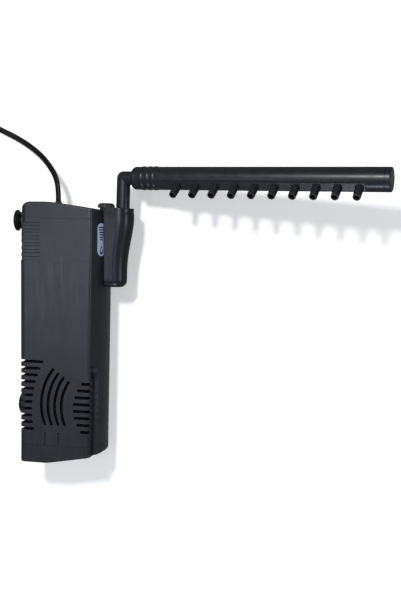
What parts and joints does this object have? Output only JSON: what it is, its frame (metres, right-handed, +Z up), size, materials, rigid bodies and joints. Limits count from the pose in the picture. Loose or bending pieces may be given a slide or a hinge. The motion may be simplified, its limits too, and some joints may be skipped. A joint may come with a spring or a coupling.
{
  "type": "internal power filter",
  "caption": "Submersible internal aquarium filter: pump head, sponge canister, flow dial, swivelling outlet elbow and spray bar, lying on its side with its cord coiled.",
  "frame": {"origin": "middle of the flat side that the filter rests on", "axes": "+Z up out of the resting surface, across the filter's width; +X to the filter's front, where the outlet and the spray bar are; +Y to the filter's own top"},
  "size_m": [0.5081, 0.363, 0.0972],
  "materials": {
    "housing": "satin moulded plastic, near black",
    "rubber": "matt black rubber",
    "cup_rubber": "smooth black rubber",
    "label": "printed vinyl sticker, pale blue",
    "iron": "stacked iron sheets",
    "winding": "enamelled copper wire",
    "resin": "cast resin",
    "magnet": "moulded ferrite",
    "ceramic": "polished ceramic",
    "white_plastic": "moulded plastic, off-white",
    "inner_plastic": "moulded plastic",
    "dial_plastic": "fine matt moulded plastic",
    "outlet_plastic": "satin moulded plastic with a soft gloss",
    "pipe_plastic": "satin extruded plastic",
    "sponge": "open-cell foam, near black",
    "cord": "flat two-core PVC sheath, black",
    "tie": "hook-and-loop band",
    "plug_plastic": "moulded PVC",
    "pin_metal": "nickel-plated brass"
  },
  "bodies": {
    "pump_head": {"head_casing": "housing", "head_cover": "housing", "cable_gland": "rubber", "flow_label": "label", "stator_core": "iron", "stator_coil": "winding", "resin_fill": "resin", "ceramic_shaft": "ceramic", "upper_bush": "rubber", "spindle_bush": "inner_plastic", "outlet_column": "outlet_plastic", "column_cap": "outlet_plastic", "elbow_seal": "rubber", "mains_cord": "cord", "cord_coil": "cord", "cord_tail": "cord", "cord_tie": "tie", "plug_body": "plug_plastic", "plug_pins": "pin_metal"},
    "rotor": {"rotor_magnet": "magnet", "impeller": "white_plastic"},
    "volute_lid": {"volute_cover": "inner_plastic"},
    "flow_valve": {"flow_dial": "dial_plastic", "flow_spindle": "inner_plastic"},
    "outlet_elbow": {"elbow": "pipe_plastic"},
    "bar": {"bar_collar": "pipe_plastic", "bar_seal": "rubber", "spray_bar": "pipe_plastic"},
    "bar_cap": {"bar_end_cap": "pipe_plastic"},
    "sponge_case": {"canister": "housing", "suction_cup_low": "cup_rubber"},
    "sponge": {"filter_sponge": "sponge"},
    "base": {"base_cap": "housing"},
    "cup_hanger": {"cup_bracket": "housing", "suction_cup_near": "cup_rubber", "suction_cup_far": "cup_rubber"}
  },
  "joints": [
    {"name": "rotor_spin", "type": "hinge", "parent": "pump_head", "child": "rotor", "pos_m": [0.01, 0.095, 0.032], "axis": [0, 1, 0], "continuous": true},
    {"name": "volute_lid_pull", "type": "slide", "parent": "pump_head", "child": "volute_lid", "axis": [0, -1, 0], "range_m": [0, 0.01]},
    {"name": "dial_turn", "type": "hinge", "parent": "pump_head", "child": "flow_valve", "pos_m": [0.0413, 0.12, 0.032], "axis": [0, 1, 0], "range_deg": [0, 90]},
    {"name": "elbow_swivel", "type": "hinge", "parent": "pump_head", "child": "outlet_elbow", "pos_m": [0.0595, 0.15745, 0.032], "axis": [0.0185, 0.9998, 0], "range_deg": [-100, 100]},
    {"name": "bar_roll", "type": "hinge", "parent": "outlet_elbow", "child": "bar", "pos_m": [0.0595, 0.15745, 0.032], "axis": [0.984, -0.0182, 0.1771], "continuous": true},
    {"name": "bar_cap_pull", "type": "slide", "parent": "bar", "child": "bar_cap", "axis": [0.984, -0.0182, 0.1771], "range_m": [0, 0.012]},
    {"name": "canister_pull", "type": "slide", "parent": "pump_head", "child": "sponge_case", "axis": [0, -1, 0], "range_m": [0, 0.06]},
    {"name": "base_pull", "type": "slide", "parent": "sponge_case", "child": "base", "axis": [0, -1, 0], "range_m": [0, 0.08]},
    {"name": "sponge_draw", "type": "slide", "parent": "sponge_case", "child": "sponge", "axis": [0, -1, 0], "range_m": [0, 0.04]},
    {"name": "bracket_slide", "type": "slide", "parent": "pump_head", "child": "cup_hanger", "axis": [0, 1, 0], "range_m": [0, 0.022]}
  ],
  "couplings": [
    {"joint": "sponge_draw", "follows": "base_pull", "ratio": 0.5}
  ]
}
